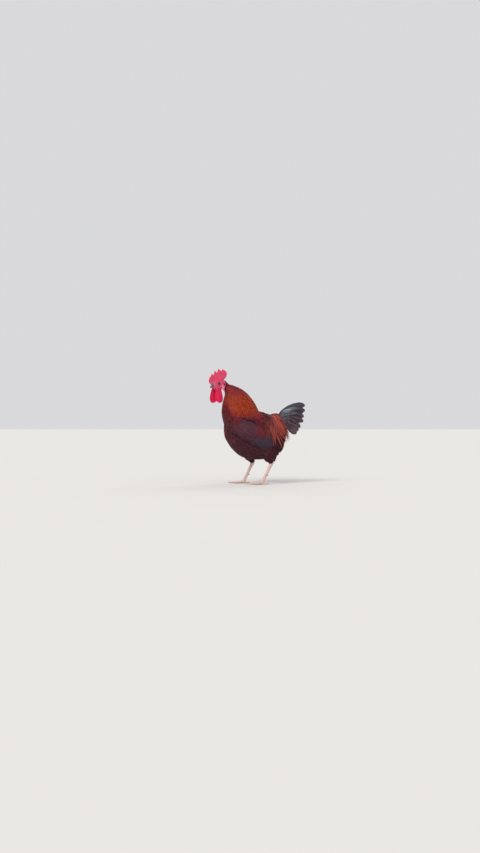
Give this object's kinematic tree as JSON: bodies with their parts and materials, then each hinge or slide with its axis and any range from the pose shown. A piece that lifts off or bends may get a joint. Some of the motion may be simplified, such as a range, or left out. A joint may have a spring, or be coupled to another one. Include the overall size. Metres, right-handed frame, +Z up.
{
  "type": "standing rooster",
  "caption": "Life-size standing rooster, a still model with its own feathers, comb, wattles and scaled feet.",
  "frame": {"origin": "on the floor, below the middle of the whole bird's box", "axes": "+Z up, the bird faces -Y, and its left side is towards +X"},
  "size_m": [0.1454, 0.3906, 0.4727],
  "materials": {
    "breast_feather": "satin",
    "hackle_feather": "satin",
    "wing_feather": "satin",
    "saddle_feather": "satin",
    "tail_feather": "satin",
    "red_skin": "matte",
    "earlobe_skin": "matte",
    "horn": "satin",
    "leg_scale": "satin",
    "eye": "gloss"
  },
  "bodies": {
    "root": {"torso": "breast_feather", "neck": "hackle_feather", "saddle": "saddle_feather", "tail": "tail_feather", "wing_left": "wing_feather", "wing_right": "wing_feather", "thigh_left": "breast_feather", "thigh_right": "breast_feather", "head": "red_skin", "comb": "red_skin", "wattle_left": "red_skin", "wattle_right": "red_skin", "earlobe_left": "earlobe_skin", "earlobe_right": "earlobe_skin", "eye_left": "eye", "eye_right": "eye", "beak_upper": "horn", "beak_lower": "horn", "shank_left": "leg_scale", "shank_right": "leg_scale", "foot_left": "leg_scale", "foot_right": "leg_scale", "spur_left": "horn", "spur_right": "horn", "claw_inner_left": "horn", "claw_middle_left": "horn", "claw_outer_left": "horn", "claw_hind_left": "horn", "claw_inner_right": "horn", "claw_middle_right": "horn", "claw_outer_right": "horn", "claw_hind_right": "horn"}
  },
  "joints": []
}
